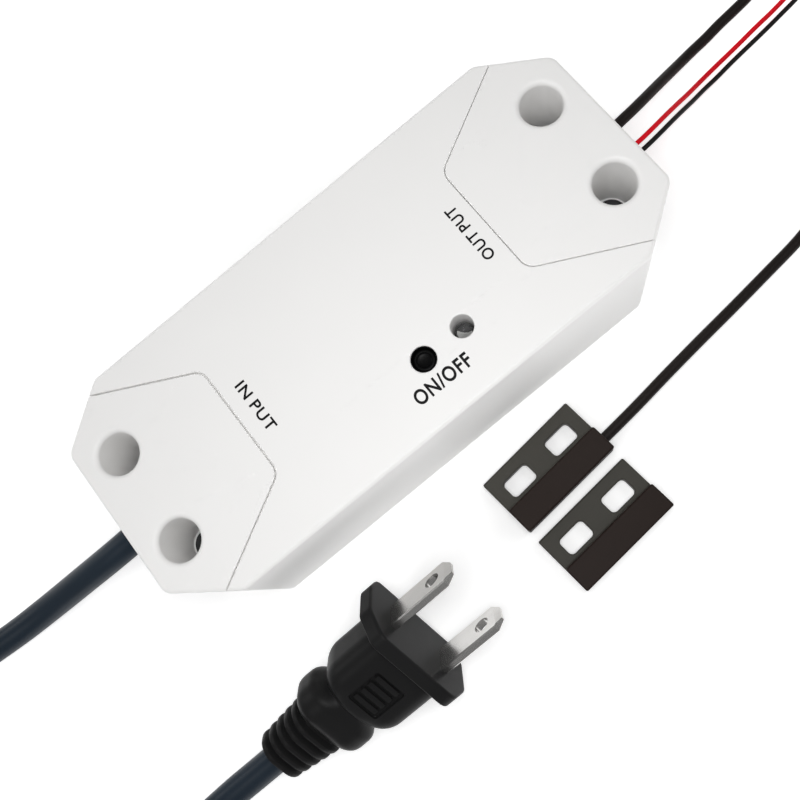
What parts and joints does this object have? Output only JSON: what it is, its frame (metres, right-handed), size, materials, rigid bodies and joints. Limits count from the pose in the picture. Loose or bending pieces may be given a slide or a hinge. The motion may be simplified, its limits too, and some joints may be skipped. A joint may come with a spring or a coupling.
{
  "type": "garage door controller",
  "caption": "In-line relay box with tapered ends and screw wells, a mains lead and plug, a button, a lamp, output wires and a wired door sensor with magnet.",
  "frame": {"origin": "middle of the case's back face, on the surface that it lies on", "axes": "+X along the case from the mains input end to the output end, +Y across it away from the button, +Z out of the back through the top"},
  "size_m": [0.3765, 0.0984, 0.03],
  "materials": {
    "case_white": "satin moulded white",
    "black_screw": "black coated steel",
    "steel_screw": "zinc plated",
    "board_green": "solder resist",
    "terminal_green": "moulded green",
    "component_black": "moulded black",
    "capacitor_sleeve": "shrink sleeve",
    "fuse_ceramic": "ceramic tube",
    "varistor_blue": "lacquer",
    "radio_blue": "solder resist",
    "shield_tin": "tinned",
    "relay_blue": "moulded blue",
    "coil_copper": "enamelled copper",
    "soft_iron": "soft iron",
    "contact_silver": "silver on brass",
    "button_black": "satin black",
    "lamp_clear": "clear lens",
    "tinned_lead": "tinned",
    "black_rubber": "soft black",
    "lead_black": "satin PVC, blue black",
    "core_brown": "satin PVC",
    "core_grey": "satin PVC",
    "plug_black": "moulded PVC",
    "blade_nickel": "nickel plated",
    "cable_black": "satin PVC, brown black",
    "sensor_grey": "fine satin",
    "resin_black": "cast resin",
    "reed_glass": "clear",
    "magnet_metal": "nickel plated",
    "wire_red": "satin PVC",
    "wire_black": "satin PVC",
    "copper": "bare copper",
    "tie_black": "flat tie"
  },
  "bodies": {
    "controller": {"main_cover": "case_white", "base_plate": "case_white", "input_end_cover": "case_white", "output_end_cover": "case_white", "cover_screws": "black_screw", "circuit_board": "board_green", "board_screws": "steel_screw", "input_terminal_block": "terminal_green", "output_terminal_block": "terminal_green", "terminal_screws": "steel_screw", "power_module": "component_black", "bulk_capacitor": "capacitor_sleeve", "fuse": "fuse_ceramic", "varistor": "varistor_blue", "radio_board": "radio_blue", "radio_shield": "shield_tin", "relay_base": "component_black", "relay_cover": "relay_blue", "relay_coil": "coil_copper", "relay_yoke": "soft_iron", "relay_fixed_contact": "contact_silver", "switch_body": "component_black", "status_lamp": "lamp_clear", "lamp_leads": "tinned_lead", "input_grommet": "black_rubber", "output_grommet": "black_rubber", "cord_clamp": "case_white", "clamp_screws": "steel_screw", "lead_inner_end": "lead_black", "lead_cores": "core_brown", "cable_inner_end": "cable_black", "cable_cores": "core_grey", "red_wire_inner": "wire_red", "black_wire_inner": "wire_black", "lead_at_case": "lead_black", "lead_coil_wound": "lead_black", "lead_at_plug": "lead_black", "plug_body": "plug_black", "plug_blades": "blade_nickel", "cable_at_case": "cable_black", "cable_coil_wound": "cable_black", "cable_at_sensor": "cable_black", "sensor_housing": "sensor_grey", "sensor_potting": "resin_black", "reed_switch": "reed_glass", "red_wire": "wire_red", "red_wire_coil": "wire_red", "black_wire": "wire_black", "black_wire_coil": "wire_black", "wire_tips": "copper", "coil_ties": "tie_black"},
    "button": {"push_button": "button_black", "switch_plunger": "component_black"},
    "armature": {"relay_armature": "soft_iron"},
    "magnet": {"magnet_housing": "sensor_grey", "magnet_potting": "resin_black", "magnet_bar": "magnet_metal"}
  },
  "joints": [
    {"name": "button_press", "type": "slide", "parent": "controller", "child": "button", "axis": [0, 0, -1], "range_m": [0, 0.0005], "stiffness_N_per_m": 1500},
    {"name": "relay_armature", "type": "hinge", "parent": "controller", "child": "armature", "pos_m": [0.015, 0.01075, 0.0191], "axis": [0, -1, 0], "range_deg": [0, 4.5], "stiffness_Nm_per_rad": 0.02, "springref_deg": -5.73},
    {"name": "magnet_slide", "type": "slide", "parent": "controller", "child": "magnet", "axis": [0.1011, -0.9949, 0], "range_m": [0, 0.05]}
  ]
}
